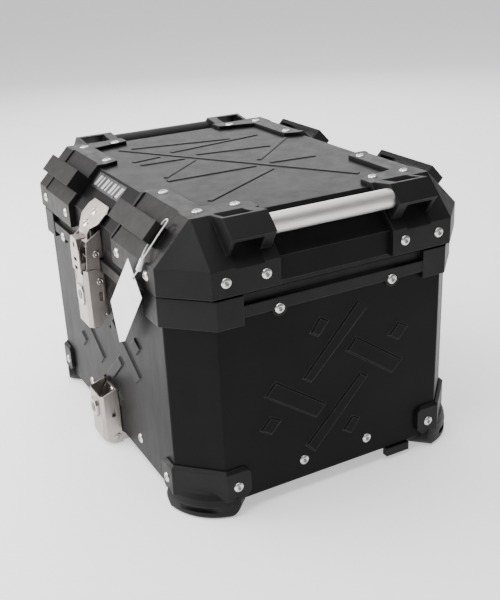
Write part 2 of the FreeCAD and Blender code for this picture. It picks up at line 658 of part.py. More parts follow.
def make_lid_guard():
    form = bevelled("guard_form", "guard_x", "guard_y", "guard_corner", "guard_low", "guard_bend",
                    "guard_top",
                    "guard_inset", "guard_tip")
    plan = [("arm_x + 2", "-175"), ("arm_x", "-131"), ("arm_x - 1", "-120"), ("arm_x + 5", "-plate_in_y"),
            ("plate_in_x", "-plate_in_y"), ("plate_in_x + 10.4", "-arm_y - 1"), ("plate_in_x + 12.4",
                                                                                 "-arm_y"),
            ("215", "-arm_y"), ("215", "-175")]
    region = block("guard_region", "XY", "guard_low - 5", "guard_top + 5", [plan])
    front = "guard_y + guard_bend"
    side = "guard_x + guard_bend"

    def front_point(y, total):
        return (f"-({y})", f"{total} - ({y})")

    def side_point(x, total):
        return (x, f"{total} - ({x})")

    front_body = block("front_loop", "YZ", "arm_x", "front_loop_face", [[
        ("-136", "273.7"), ("-151.4", "289.1"), front_point("165.4", f"{front} + front_loop_out * 1.414"),
        ("-149.9", "258.9")]])
    plate_in = f"{front} + (front_loop_out - loop_wall) * 1.414"
    front_slot = block("front_slot", "YZ", "front_slot_start", "front_slot_end", [[
        front_point("118", f"{front} - loop_recess * 1.414"), front_point("172",
                                                                          f"{front} - loop_recess * 1.414"),
        front_point("182", plate_in), front_point("128", plate_in)]])
    side_body = block("side_loop", "XZ", "-side_loop_face", "-side_loop_start", [[
        ("guard_x - 46", "guard_top - 3"), ("guard_x - guard_inset", "guard_top"),
        ("192.1", "guard_top + 3.5"), side_point("208", f"{side} + side_loop_out * 1.414"),
        side_point("196.5", side), ("guard_x - 16", "262")]])
    side_in = f"{side} + (side_loop_out - loop_wall) * 1.414"
    side_slot = block("side_slot", "XZ", "-side_slot_end", "-side_slot_start", [[
        side_point("157", f"{side} - loop_recess * 1.414"), side_point("210",
                                                                       f"{side} - loop_recess * 1.414"),
        side_point("221", side_in), side_point("168", side_in)]])
    slope = block("side_loop_slope", "XY", "guard_top - 40", "guard_top + 10", [[
        ("150", "-side_loop_face - 0.01"), ("240", "-side_loop_face - 0.01"),
        ("240", "-side_loop_end - 20"), ("150", "-side_loop_end - 20")]])
    socket = rod("guard_socket", "Y", ("tube_x", "-tube_end - 0.1", "tube_z"), "20", "tube_r - 2.95")
    whole = join("guard_whole", common("guard_corner_part", form, region), front_body, cut("side_loop_cut",
                                                                                           side_body,
                                                                                           slope))
    lid_space = lid_form("guard_lid_space", "0")
    below = block("guard_below", "XY", "guard_low - 20", "lid_low", [around("0")])
    return cut("guard_front_right", whole, lid_space, below, front_slot, side_slot, socket,
               *lid_side_holes("guard_holes"),
               lid_top_holes("guard_top_holes"))


four_corners(make_lid_guard(), "lid_guard")
side_grip = "guard_y - wall_y + sheet"
rivets("lid_side_rivets", side_grip, both_sides("guard_x", LID_SIDE_RIVETS, "guard_y", LID_FRONT_RIVETS,
                                                LID_RIVET_Z))
rivets("lid_top_rivets", "guard_top - lid_top + sheet",
       [(f"{a}({x})", f"{b}({y})", "guard_top", (0, 0, 1))
        for x, y in TOP_RIVETS for a in ("", "-") for b in ("", "-")])


def make_handle():
    grip = rod("handle_grip", "Y", ("tube_x", "-side_loop_start + 0.1", "tube_z"),
               "2 * side_loop_start - 0.2", "tube_r")
    ends = rod("handle_ends", "Y", ("tube_x", "-tube_end", "tube_z"), "2 * tube_end", "tube_r - 3")
    bore = rod("handle_bore", "Y", ("tube_x", "-tube_end - 1", "tube_z"), "2 * tube_end + 2",
               "tube_r - 3 - tube_wall")
    return cut("handle_tube", join("handle_solid", grip, ends), bore)


handle = piece(make_handle(), "handle_tube")
piece(mirrored("handle_bar_left", handle, (1, 0, 0)), "handle_bar_left")


# ---- hinge at the rear ----

HINGE_KNUCKLES = {"body": [("-hinge_half", "-30"), ("-10", "10"), ("30", "hinge_half")],
                  "lid": [("-29.7", "-10.3"), ("10.3", "29.7")]}


def make_leaf(label, profile, mine, others, rivet_z):
    sheet = block(label + "_sheet", "YZ", "-hinge_half", "hinge_half", [profile])
    barrels = [rod(f"{label}_barrel_{i}", "X", (a, "hinge_y", "hinge_z"), f"{b} - ({a})", "knuckle_r")
               for i, (a, b) in enumerate(HINGE_KNUCKLES[mine])]
    rooms = [rod(f"{label}_room_{i}", "X", (f"{a} - 0.3", "hinge_y", "hinge_z"), f"{b} - ({a}) + 0.6",
                 "knuckle_r + 0.5")
             for i, (a, b) in enumerate(HINGE_KNUCKLES[others])]
    fit = "0" if mine == "body" else "0.05"
    bore = rod(label + "_bore", "X", ("-hinge_half - 1", "hinge_y", "hinge_z"), "2 * hinge_half + 2",
               f"knuckle_r / 2 + {fit}")
    holes = block(label + "_holes", "XZ", "wall_y - 5", "wall_y + 9", [],
                  [(x, rivet_z, "shank_r + 0.05") for x in HINGE_RIVETS])
    return cut(label, join(label + "_whole", cut(label + "_cut", sheet, *rooms), *barrels), bore, holes)


body_profile = [("wall_y", "180"), ("wall_y + leaf", "180"), ("wall_y + leaf", "198.5"),
                ("wall_y + rim_out + leaf", "202.5"),
                ("wall_y + rim_out + leaf", "216"), ("hinge_y", "hinge_z - 3.9"), ("hinge_y - 3.9",
                                                                                   "hinge_z"),
                ("wall_y + rim_out + 0.1", "217.5"), ("wall_y + rim_out + 0.1", "203.4"),
                ("wall_y", "199.3")]
lid_profile = [("wall_y", "229"), ("wall_y", "250"), ("wall_y + leaf", "250"), ("wall_y + leaf", "231.2"),
               ("hinge_y", "hinge_z + 3.95"), ("hinge_y - 3.9", "hinge_z")]
piece(make_leaf("hinge_body_leaf", body_profile, "body", "lid", "hinge_rivet_z"), "hinge_body_leaf")
piece(make_leaf("hinge_lid_leaf", lid_profile, "lid", "body", "lid_hinge_rivet_z"), "hinge_lid_leaf")
piece(rod("hinge_pin", "X", ("-hinge_half - 1.5", "hinge_y", "hinge_z"), "2 * hinge_half + 3",
          "knuckle_r / 2"), "hinge_pin")
rivets("hinge_body_rivets", "leaf + sheet", [(x, "wall_y + leaf", "hinge_rivet_z",
                                              (0, 1, 0)) for x in HINGE_RIVETS])
rivets("hinge_lid_rivets", "leaf + sheet", [(x, "wall_y + leaf", "lid_hinge_rivet_z",
                                             (0, 1, 0)) for x in HINGE_RIVETS])


# ---- upper latch ----

def plates(base, near, far, outline):
    """The same side plate on both sides of the middle."""
    base.pad("YZ", near, far, [outline])
    base.pad("YZ", f"-({far})", f"-({near})", [outline])


def channel(half, front, back, wall, corner):
    """Outline of a U channel with cut corners, open toward +Y."""
    half_in, front_in, corner_in = f"{half} - {wall}", f"{front} + {wall}", f"({corner} - {wall} * 0.586)"
    return [(half, back), (half, f"{front} + {corner}"), (f"{half} - {corner}", front),
            (f"-({half} - {corner})", front),
            (f"-({half})", f"{front} + {corner}"), (f"-({half})", back), (f"-({half_in})", back),
            (f"-({half_in})", f"{front_in} + {corner_in}"), (f"-({half_in} - {corner_in})", front_in),
            (f"{half_in} - {corner_in}", front_in), (half_in, f"{front_in} + {corner_in}"), (half_in, back)]


def make_latch_base():
    base = Piece("latch_base")
    base.pad("XZ", "-wall_y - plate", "-wall_y", [rectangle("-14.1", "14.1", "152", "201")])
    arm = [("-wall_y - plate", "153"), ("-163.3", "155"), ("-163.3", "196.5"), ("-172", "202.5"),
           ("-172", "214.5"),
           ("-164", "214.5"), ("-164", "201"), ("-wall_y - plate", "201")]
    plates(base, "12.6", "14.1", arm)
    base.pad("XY", "213", "214.5", [rectangle("-latch_half", "latch_half", "-172", "-164")])
    ear = [("-164", "213"), ("-164", "206"), ("-170", "206.2"), ("-178.2", "210.6"), ("-177.6", "222"),
           ("-176", "236"),
           ("-160.3", "246.5"), ("-160.3", "217"), ("-164", "217")]
    plates(base, "16.5", "latch_half", ear)
    base.pocket("YZ", "-latch_half - 1", "latch_half + 1", [], [("pivot_y", "pivot_z", "pin_r")])
    base.pocket("XZ", "-wall_y - plate - 1", "-wall_y + 1", [], [(x, z, "shank_r + 0.05") for x,
                                                                 z in LATCH_RIVETS])
    return base


def make_lever():
    lever = Piece("latch_lever")
    lever.pad("XY", "lever_low", "212", [channel("latch_half", "-lever_front", "-161.8", "1.6", "3.5")])
    lever.pocket("XZ", "-lever_front - 1", "-175", [rectangle("-14.5", "14.5", "200", "215")])
    lever.pocket("XZ", "-lever_front - 1", "-172", [rectangle("-30", "30", "205.5", "215")])
    lever.pocket("YZ", "-30", "30", [[("-150", "205.5"), ("-150", "215"), ("-190", "215"),
                                      ("-190", "211.5"),
                                      ("-178", "209"), ("-172", "205.8")]])
    lever.pocket("YZ", "-30", "30", [[("-160", "lever_low - 1"), ("-160", "199"), ("-161.9", "199"),
                                      ("-161.9", "185"),
                                      ("-164", "152"), ("-172", "lever_low - 1")]])
    lever.pocket("YZ", "-30", "30", [[("-160", "198"), ("-160", "210"), ("-164.2", "210"),
                                      ("-164.2", "203"), ("-161.9", "200")]])
    tab = [("-165", "216.8"), ("-172.7", "216"), ("-172.7", "190"), ("-180", "190"), ("-180", "203"),
           ("-176", "214"),
           ("-172.8", "222.3"), ("-167", "222.3")]
    for side in ("", "-"):
        near, far = ("14.6", "16.4") if side == "" else ("-16.4", "-14.6")
        lever.pad("YZ", near, far, [tab])
        lever.pad("YZ", near, far, [], [("pivot_y", "pivot_z", "6")])
    lever.pocket("YZ", "-17", "17", [], [("pivot_y", "pivot_z", "pin_r + 0.05")])
    lever.pocket("YZ", "-19", "19", [], [("link_y", "link_z", "pin_r")])
    lever.pocket("YZ", "-19", "19", [rectangle("-168.6", "-164.4", "171", "181")])
    for near, far in (("10.4", "12.8"), ("-12.8", "-10.4")):
        lever.pocket("XZ", "-lever_front - 1", "-178", [rectangle(near, far, "187.5", "201")])
    lever.pocket("XZ", "-lever_front - 1", "-178", [], [("0", "lock_z", "lock_r")])
    return lever


def make_link():
    link = Piece("latch_link")
    arm = [("-163", "188.6"), ("-169", "188.6"), ("-178.6", "204.6"), ("-182", "204.6"), ("-182", "213"),
           ("-177", "213"),
           ("-163", "196")]
    plates(link, "10.8", "12.3", arm)
    link.pad("XZ", "-183.6", "-182", [[("-12.3", "hook_low"), ("12.3", "hook_low"), ("12.3", "228"),
                                       ("8", "hook_top"),
                                       ("-8", "hook_top"), ("-12.3", "228")]])
    link.pad("XZ", "-182.1", "-173.2", [rectangle("-8", "8", "hook_top - 1.6", "hook_top")])
    link.pocket("YZ", "-13", "13", [], [("link_y", "link_z", "pin_r + 0.05")])
    link.pocket("XZ", "-184", "-181", [], [("0", "230.5", "3")])
    link.pocket("XZ", "-184", "-181", [rectangle("-4.5", "4.5", "204", "208"), rectangle("-4.5", "4.5",
                                                                                         "213", "217")])
    return link


def make_lock(name, front, z, radius, high, stretch):
    """Lock housing with an oval collar in front of the lever and a barrel behind it."""
    housing = Piece(name)
    housing.pad("XZ", f"-{front}", f"-{front} + 12", [], [("0", z, radius)])
    oval = [("-0.62", "1"), ("-1", "0.55"), ("-1", "-0.55"), ("-0.62", "-1"), ("0.62", "-1"),
            ("1", "-0.55"), ("1", "0.55"),
            ("0.62", "1")]
    housing.pad("XZ", f"-{front} - {high}", f"-{front}",
                [[(f"{a} * ({radius} + 1.2)", f"{z} + {b} * ({radius} + {stretch})") for a, b in oval]])
    housing.pocket("XZ", f"-{front} - {high} - 1", f"-{front} + 13", [], [("0", z, "5.25")])
    return housing


def make_plug(name, front, z, high):
    plug = Piece(name)
    plug.pad("XZ", f"-{front} - {high} - 0.4", f"-{front} + 13", [], [("0", z, "5.2")])
    plug.pocket("XZ", f"-{front} - {high} - 1", f"-{front} - {high} + 2",
                [rectangle("-0.8", "0.8", f"{z} - 3.4", f"{z} + 3.4")])
    return plug


make_latch_base()
make_lever()
make_link()
make_lock("latch_lock_housing", "lever_front", "lock_z", "lock_r", "1.6", "2")
make_plug("latch_lock_plug", "lever_front", "lock_z", "1.6")
piece(rod("latch_pivot_pin", "X", ("-latch_half - 0.6", "pivot_y", "pivot_z"), "2 * latch_half + 1.2",
          "pin_r"), "latch_pivot_pin")
piece(rod("latch_link_pin", "X", ("-latch_half - 0.6", "link_y", "link_z"), "2 * latch_half + 1.2",
          "pin_r"), "latch_link_pin")
rivets("latch_base_rivets", "plate + sheet", [(x, "-wall_y - plate", z, (0, -1, 0)) for x,
                                              z in LATCH_RIVETS])

# Keeper: a bent stainless sheet standing off the lid on a black wedge.
KEEPER_FACE = [("-149.8", "268.8"), ("-169.9", "248.4"), ("-172.6", "242"), ("-172.6", "231"),
               ("-170.5", "229"),
               ("-168", "229"), ("-168", "230.5"), ("-169.9", "230.5"), ("-171.1", "231.7"),
               ("-171.1", "241.7"),
               ("-168.8", "247.3"), ("-148.7", "267.7")]
keeper_sheet = block("keeper_sheet", "YZ", "-26", "26", [KEEPER_FACE])
keeper_plan = block("keeper_plan", "XZ", "-180", "-140", [[
    ("-17", "270"), ("-24.5", "263"), ("-24.5", "254.5"), ("-14", "248"), ("-12", "243"), ("-12", "228"),
    ("12", "228"), ("12", "243"), ("14", "248"), ("24.5", "254.5"), ("24.5", "263"), ("17", "270")]])
keeper_holes = join("keeper_holes", *[bore(f"keeper_hole_{i}", seat, -1, 8.5, "shank_r + 0.05")
                                      for i, seat in enumerate(KEEPER_SEATS)])
tail_room = bore("keeper_tail_room", KEEPER_SEATS[1], KEEPER_GRIP, KEEPER_GRIP + 3, "shank_r + 1.1")
piece(cut("latch_keeper", common("keeper_bent", keeper_sheet, keeper_plan), keeper_holes), "latch_keeper")
pad_form = block("keeper_pad_form", "YZ", "-13", "13", [[
    ("-145", "266"), ("-148", "267"), ("-168.8", "246"), ("-wall_y", "238"), ("-wall_y + 4", "250")]])
keeper_space = block("keeper_pad_space", "YZ", "-26", "26", [[
    ("-149.8", "268.8"), ("-169.9", "248.4"), ("-172.6", "242"), ("-171.1", "241.7"), ("-168.8", "247.3"),
                                                              ("-148.7", "267.7")]])
piece(cut("keeper_pad", pad_form, lid_form("keeper_lid_space", "0"), keeper_space, keeper_holes, tail_room),
      "keeper_pad")
rivets("keeper_rivets", KEEPER_GRIP, [(*seat, KEEPER_OUT) for seat in KEEPER_SEATS])


# ---- lower latch ----

def make_low_base():
    base = Piece("lower_latch_base")
    base.pad("XZ", "-wall_y - plate", "-wall_y", [rectangle("-14.1", "14.1", "18", "62")])
    arm = [("-wall_y - plate", "62"), ("-wall_y - plate - 4", "58"), ("-171.5", "30"),
           ("-171.5", "low_pivot_z"),
           ("-168", "low_pivot_z - 6"), ("-163", "low_pivot_z - 6"), ("-160.2", "low_pivot_z"),
           ("-wall_y - plate", "18")]
    plates(base, "12.6", "14.1", arm)
    base.pocket("YZ", "-15", "15", [], [("low_pivot_y", "low_pivot_z", "pin_r")])
    base.pocket("XZ", "-wall_y - plate - 1", "-wall_y + 1", [], [(x, z, "shank_r + 0.05") for x,
                                                                 z in LOW_LATCH_RIVETS])
    return base


def make_low_lever():
    lever = Piece("lower_lever")
    lever.pad("XY", "1", "low_top + 4", [channel("latch_half", "-low_front", "-160.4", "1.6", "3.5")])
    lever.pocket("XZ", "-low_front - 1", "-177", [rectangle("-30", "30", "61", "75")])
    lever.pocket("YZ", "-30", "30", [[("-185", "61"), ("-177", "60.9"), ("-170", "low_top"),
                                      ("-163", "low_top + 2"),
                                      ("-155", "low_top + 2"), ("-155", "75"), ("-185", "75")]])
    lever.pocket("YZ", "-30", "30", [[("-186", "-1"), ("-168", "-1"), ("-168", "0.9"), ("-171.5", "1.8"),
                                      ("-182", "8.5"), ("-186", "8.5")]])
    lever.pocket("YZ", "-19", "19", [], [("low_pivot_y", "low_pivot_z", "pin_r + 0.05")])
    lever.pocket("YZ", "-19", "19", [rectangle("-169.6", "-165.4", "34", "44")])
    lever.pocket("XZ", "-low_front - 1", "-178", [], [("0", "low_lock_z", "lock_r")])
    return lever


def make_claw():
    claw = Piece("lower_claw")
    near = [("-172", "8"), ("-170", "3.4"), ("-166", "2"), ("-147", "2"), ("-147", "9.5"), ("-158.5", "11"),
            ("-161", "15"),
            ("-167", "16"), ("-171.5", "13")]
    plates(claw, "14.5", "16.1", near)
    claw.pad("XY", "2", "3.6", [[("-16.1", "-157"), ("16.1", "-157"), ("16.1", "-150"), ("latch_half",
                                                                                         "-150"),
                                ("latch_half", "-154 + claw_long"), ("-latch_half", "-154 + claw_long"),
                                ("-latch_half", "-150"), ("-16.1", "-150")]])
    arm = [("-150", "2"), ("-158 + claw_long", "2"), ("-154 + claw_long", "5"), ("-154 + claw_long", "8"),
           ("-160 + claw_long", "8"), ("-146", "10.5"), ("-150", "10.5")]
    plates(claw, "16.1", "latch_half", arm)
    claw.pad("XZ", "-155.6 + claw_long", "-154 + claw_long", [rectangle("-latch_half", "latch_half", "3",
                                                                        "10.5")])
    claw.pocket("YZ", "-19", "19", [], [("low_pivot_y", "low_pivot_z", "pin_r + 0.05")])
    return claw


make_low_base()
make_low_lever()
make_claw()
make_lock("lower_lock_housing", "low_front", "low_lock_z", "lock_r", "3", "1")
make_plug("lower_lock_plug", "low_front", "low_lock_z", "3")
piece(rod("lower_pivot_pin", "X", ("-latch_half - 0.6", "low_pivot_y", "low_pivot_z"),
          "2 * latch_half + 1.2", "pin_r"),
      "lower_pivot_pin")
rivets("lower_latch_rivets", "plate + sheet", [(x, "-wall_y - plate", z, (0, -1, 0)) for x,
                                               z in LOW_LATCH_RIVETS])


# ---- small pieces ----

def make_sticker():
    """Thin label on the front slope of the lid, beside the keeper."""
    run = ("lid_inset", "lid_top - lid_bend")
    near, far, thick = "0.06", "0.42", "0.25"

    def on_slope(part, lift):
        return (f"-(wall_y - {run[0]}) - ({part}) * {run[0]} - ({lift})",
                f"lid_top - ({part}) * ({run[1]}) + ({lift})")

    return block("lid_sticker", "YZ", "-54", "22", [[on_slope(near, "0"), on_slope(far, "0"), on_slope(far,
                                                                                                       thick),
                                                     on_slope(near, thick)]])


piece(make_sticker(), "lid_sticker")

block_side = block("carrier_block_right", "XY", "4", "tub_bottom", [rectangle("194", "201", "62", "90")])
piece(block_side, "carrier_block_right")
piece(mirrored("carrier_block_left", block_side, (1, 0, 0)), "carrier_block_left")

# Hang tag on a string that is looped round the end web of the front right strap loop.
TAG_Y = ("-172.4", "-172")
TAG = [("125.6", "252"), ("64.2", "188.5"), ("78", "149.7"), ("93.3", "156.9"), ("151.5", "222.4")]
tag = Piece("hang_tag")
tag.pad("XZ", *TAG_Y, [TAG])
tag.pocket("XZ", "-173", "-171", [], [("136", "236.5", "2")])

STRING = [(152.43, -168.4, 258.47), (152.6, -161, 267), (152, -150, 279.5), (150.3, -141.6, 286.6),
          (146.3, -139.4, 288),
          (142.4, -141.6, 285.4), (141, -148, 277.5), (141.3, -156.5, 268), (144.2, -163.5, 262.2),
          (150.97, -168.4, 259.33)]
STRING_R = 0.75


def make_string():
    """Straight runs joined by arcs that touch both runs, swept with a round section."""
    points = [FreeCAD.Vector(*place) for place in STRING]
    edges = []
    start = points[0]
    for before, point, after in zip(points, points[1:], points[2:]):
        back, ahead = (before - point), (after - point)
        reach = 0.45 * min(back.Length, ahead.Length)
        turn = math.pi - back.getAngle(ahead)
        print(f"string radius {reach / math.tan(turn / 2):.1f}")
        back.normalize()
        ahead.normalize()
        enter, leave = point + back * reach, point + ahead * reach
        middle_way = (back + ahead).normalize()
        radius = reach / math.tan(turn / 2)
        middle = point + middle_way * (radius / math.cos(turn / 2) - radius)
        edges.append(Part.LineSegment(start, enter).toShape())
        edges.append(Part.Arc(enter, middle, leave).toShape())
        start = leave
    edges.append(Part.LineSegment(start, points[-1]).toShape())
    path = Part.Wire(edges)
    section = Part.Wire(Part.Circle(points[0], points[1] - points[0], STRING_R).toShape())
    tube = path.makePipeShell([section], True, False)
    expected = path.Length * math.pi * STRING_R ** 2
    print(f"string length {path.Length:.1f}, volume {tube.Volume:.1f} of {expected:.1f}")
    if abs(tube.Volume / expected - 1) > 0.02:
        raise RuntimeError("the string's tube has the wrong volume")
    string = doc.addObject("Part::Feature", "tag_string")
    string.Shape = tube
    return string


piece(make_string(), "tag_string")


def make_clasp():
    """Tapered seal that joins the string's ends, with its tail through the tag's hole."""
    top = FreeCAD.Vector(151.5, -168.45, 258.6)
    down = FreeCAD.Vector(-0.495, -0.12, -0.86).normalize()
    turn = FreeCAD.Rotation(FreeCAD.Vector(0, 0, 1), down)
    cone = doc.addObject("Part::Cone", "clasp_cone")
    cone.Radius1, cone.Radius2, cone.Height = 1.9, 2.6, 14
    cone.Placement = FreeCAD.Placement(top, turn)
    end = top + down * 14
    hole = FreeCAD.Vector(136.3, -173.3, 236.9)
    tail = doc.addObject("Part::Cylinder", "clasp_tail")
    tail.Radius, tail.Height = 0.6, (hole - end).Length + 1
    reach = (hole - end).normalize()
    tail.Placement = FreeCAD.Placement(end - reach, FreeCAD.Rotation(FreeCAD.Vector(0, 0, 1), reach))
    knob = doc.addObject("Part::Sphere", "clasp_knob")
    knob.Radius = 1.1
    knob.Placement = FreeCAD.Placement(hole - FreeCAD.Vector(0, 0.4, 0), FreeCAD.Rotation())
    return join("tag_clasp", cone, tail, knob)


piece(make_clasp(), "tag_clasp")


def check_and_export():
    doc.recompute()
    for item in doc.Objects:
        if "Invalid" in item.State or "Error" in item.State:
            raise RuntimeError(f"{item.Name} failed: {item.State}")
    os.makedirs("parts", exist_ok=True)
    for item in pieces:
        shape = item.Shape
        if shape.isNull() or not shape.isValid():
            raise RuntimeError(f"{item.Label} has no valid shape")
        shape.exportStep(f"parts/{item.Label}.step")
    print(len(pieces), "pieces")


check_and_export()
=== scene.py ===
import json
import math
import bmesh
import bpy
from mathutils import Matrix, Vector


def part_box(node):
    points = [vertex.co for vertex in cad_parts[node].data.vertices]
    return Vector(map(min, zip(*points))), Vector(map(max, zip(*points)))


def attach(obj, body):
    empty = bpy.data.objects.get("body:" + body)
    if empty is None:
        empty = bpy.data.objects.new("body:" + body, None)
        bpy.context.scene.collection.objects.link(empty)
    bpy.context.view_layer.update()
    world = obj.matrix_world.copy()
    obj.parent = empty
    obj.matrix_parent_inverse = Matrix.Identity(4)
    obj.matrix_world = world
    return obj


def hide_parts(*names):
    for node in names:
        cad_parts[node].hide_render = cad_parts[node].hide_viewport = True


# Looks of an aluminium motorcycle top case. Metres; -Y is the latch side, +X the bright handle's end.

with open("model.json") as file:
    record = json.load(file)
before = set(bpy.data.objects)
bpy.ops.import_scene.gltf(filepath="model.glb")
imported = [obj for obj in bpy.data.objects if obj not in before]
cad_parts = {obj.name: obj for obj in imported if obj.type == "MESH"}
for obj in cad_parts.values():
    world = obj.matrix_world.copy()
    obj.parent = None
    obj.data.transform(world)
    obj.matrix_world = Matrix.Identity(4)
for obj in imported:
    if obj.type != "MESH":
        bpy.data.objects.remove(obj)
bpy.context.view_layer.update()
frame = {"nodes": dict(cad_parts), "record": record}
MM = 0.001


# ---- camera ----

def add_camera():
    place = Vector((0.8394, -0.4252, 0.5253))
    aim = Vector((0.0244, 0.0017, 0.1336))
    roll = math.radians(-2.563)
    data = bpy.data.cameras.new("camera")
    data.sensor_fit = "VERTICAL"
    data.sensor_height = 24
    data.lens = 35.77
    data.clip_start = 0.01
    camera = bpy.data.objects.new("camera", data)
    turn = (aim - place).to_track_quat("-Z", "Y").to_matrix().to_4x4()
    camera.matrix_world = Matrix.Translation(place) @ turn @ Matrix.Rotation(roll, 4, "Z")
    bpy.context.collection.objects.link(camera)
    bpy.context.scene.camera = camera


add_camera()


# ---- node helpers ----

class Finish:
    """A node material around one Principled shader."""

    def __init__(self, name, colour, roughness, metallic=0.0):
        self.material = bpy.data.materials.new(name)
        self.material.use_nodes = True
        self.tree = self.material.node_tree
        self.shader = self.tree.nodes["Principled BSDF"]
        self.shader.inputs["Base Color"].default_value = (*colour, 1)
        self.shader.inputs["Roughness"].default_value = roughness
        self.shader.inputs["Metallic"].default_value = metallic
        self.place = self.add("ShaderNodeTexCoord").outputs["Object"]

    def add(self, kind, **settings):
        node = self.tree.nodes.new(kind)
        for key, value in settings.items():
            setattr(node, key, value)
        return node

    def link(self, source, target):
        self.tree.links.new(source, target)

    def noise(self, scale, detail=3.0, stretch=(1, 1, 1), rough=0.55):
        """Noise whose scale is in repeats for each metre."""
        mapping = self.add("ShaderNodeMapping")
        mapping.inputs["Scale"].default_value = [scale * part for part in stretch]
        noise = self.add("ShaderNodeTexNoise")
        noise.inputs["Scale"].default_value = 1
        noise.inputs["Detail"].default_value = detail
        noise.inputs["Roughness"].default_value = rough
        self.link(self.place, mapping.inputs["Vector"])
        self.link(mapping.outputs["Vector"], noise.inputs["Vector"])
        return noise.outputs["Fac"]

    def cells(self, scale):
        """Distance to the nearest of scattered points, for a moulded grain."""
        voronoi = self.add("ShaderNodeTexVoronoi")
        voronoi.inputs["Scale"].default_value = scale
        self.link(self.place, voronoi.inputs["Vector"])
        return voronoi.outputs["Distance"]

    def range(self, source, low, high, start=0.3, end=0.7):
        """A number between low and high as the factor goes from start to end."""
        mapping = self.add("ShaderNodeMapRange")
        for name, value in (("From Min", start), ("From Max", end), ("To Min", low), ("To Max", high)):
            mapping.inputs[name].default_value = value
        self.link(source, mapping.inputs["Value"])
        return mapping.outputs["Result"]

    def edges(self, radius):
        """Mask that is 1 on convex and concave edges within the radius, and the softened normal."""
        soft = self.add("ShaderNodeBevel", samples=6)
        soft.inputs["Radius"].default_value = radius
        flat = self.add("ShaderNodeNewGeometry")
        dot = self.add("ShaderNodeVectorMath", operation="DOT_PRODUCT")
        self.link(soft.outputs["Normal"], dot.inputs[0])
        self.link(flat.outputs["Normal"], dot.inputs[1])
        return self.range(dot.outputs["Value"], 1, 0, 0.9, 0.995), soft.outputs["Normal"]

    def mix(self, factor, low, high):
        """Mix of two colours or sockets."""
        mix = self.add("ShaderNodeMix", data_type="RGBA")
        self.link(factor, mix.inputs["Factor"])
        for socket, value in ((mix.inputs[6], low), (mix.inputs[7], high)):
            if isinstance(value, tuple):
                socket.default_value = (*value, 1)
            else:
                self.link(value, socket)
        return mix.outputs[2]

    def bump(self, height, depth, normal, strength):
        """Normal of a surface whose relief is this deep, in metres."""
        bump = self.add("ShaderNodeBump")
        bump.inputs["Strength"].default_value = strength
        bump.inputs["Distance"].default_value = depth
        self.link(height, bump.inputs["Height"])
        if normal:
            self.link(normal, bump.inputs["Normal"])
        return bump.outputs["Normal"]

    def use(self, name, source):
        self.link(source, self.shader.inputs[name])


# ---- finishes ----

def powder_coat():
    """Satin dark coat on sheet aluminium, with a fine orange peel, faint handling marks and a painted
    highlight along its edges.
    """
    coat = Finish("powder_coat", (0.03, 0.03, 0.031), 0.4)
    clouds = coat.noise(14, 4)
    marks = coat.noise(60, 6, (1, 1, 0.25), 0.7)
    edge, normal = coat.edges(0.001)
    body = coat.mix(coat.range(clouds, 0, 1), (0.006, 0.006, 0.0065), (0.0085, 0.0085, 0.009))
    # Painted highlight: the edge mask lightens convex and concave edges towards light grey.
    coat.use("Base Color", coat.mix(coat.range(edge, 0, 0.6, 0, 1), body, (0.13, 0.13, 0.13)))
    coat.use("Roughness", coat.range(marks, 0.34, 0.44))
    coat.use("Normal", coat.bump(coat.noise(1600, 2), 0.00006, normal, 0.5))
    coat.shader.inputs["Specular IOR Level"].default_value = 0.06
    return coat.material


def moulded_black(name="moulded_black", level=0.0075, edge_highlight=0.032):
    """Injection moulded plastic with a spark-eroded grain, and a painted highlight that lightens its edges.
    """
    plastic = Finish(name, (level, level, level), 0.5)
    edge, normal = plastic.edges(0.0013)
    clouds = plastic.noise(22, 5)
    grain = plastic.cells(1100)
    body = plastic.mix(plastic.range(clouds, 0, 1), (level * 0.8,) * 3, (level * 1.25,) * 3)
    # Painted highlight: the edge mask lightens convex and concave edges to the edge colour.
    plastic.use("Base Color", plastic.mix(plastic.range(edge, 0, 0.5, 0, 1), body, (edge_highlight,) * 3))
    plastic.use("Roughness", plastic.range(plastic.noise(90, 4), 0.4, 0.52))
    plastic.use("Normal", plastic.bump(grain, 0.00009, normal, 0.55))
    plastic.shader.inputs["Specular IOR Level"].default_value = 0.16
    return plastic.material


def brushed_metal(name, colour, low, high, stretch, scale=900, edge=0.0005):
    """Metal brushed along one axis: streaks in its roughness, tint and surface."""
    metal = Finish(name, colour, (low + high) / 2, 1.0)
    streaks = metal.noise(scale, 4, stretch, 0.6)
    clouds = metal.noise(35, 3)
    _, normal = metal.edges(edge)
    darker = tuple(part * 0.82 for part in colour)
    metal.use("Base Color", metal.mix(metal.range(streaks, 0, 1), darker, colour))
    blotch = metal.add("ShaderNodeMath", operation="MULTIPLY")
    metal.link(metal.range(streaks, low, high), blotch.inputs[0])
    metal.link(metal.range(clouds, 0.85, 1.2), blotch.inputs[1])
    metal.use("Roughness", blotch.outputs[0])
    metal.use("Normal", metal.bump(streaks, 0.00002, normal, 0.5))
    return metal.material


def rubber():
    """Soft black rubber, a little lighter than the hard plastic."""
    # The last number is the colour of its painted edge highlight.
    return moulded_black("soft_rubber", 0.02, 0.03)


def paper():
    """White card with a faint fibre and soft yellowing."""
    card = Finish("tag_card", (0.82, 0.82, 0.8), 0.45)
    fibre = card.noise(700, 4)
    clouds = card.noise(40, 3)
    card.use("Base Color", card.mix(card.range(clouds, 0, 1), (0.8, 0.8, 0.79), (0.86, 0.86, 0.85)))
    card.use("Roughness", card.range(fibre, 0.38, 0.55))
    card.use("Normal", card.bump(fibre, 0.00004, None, 0.5))
    return card.material


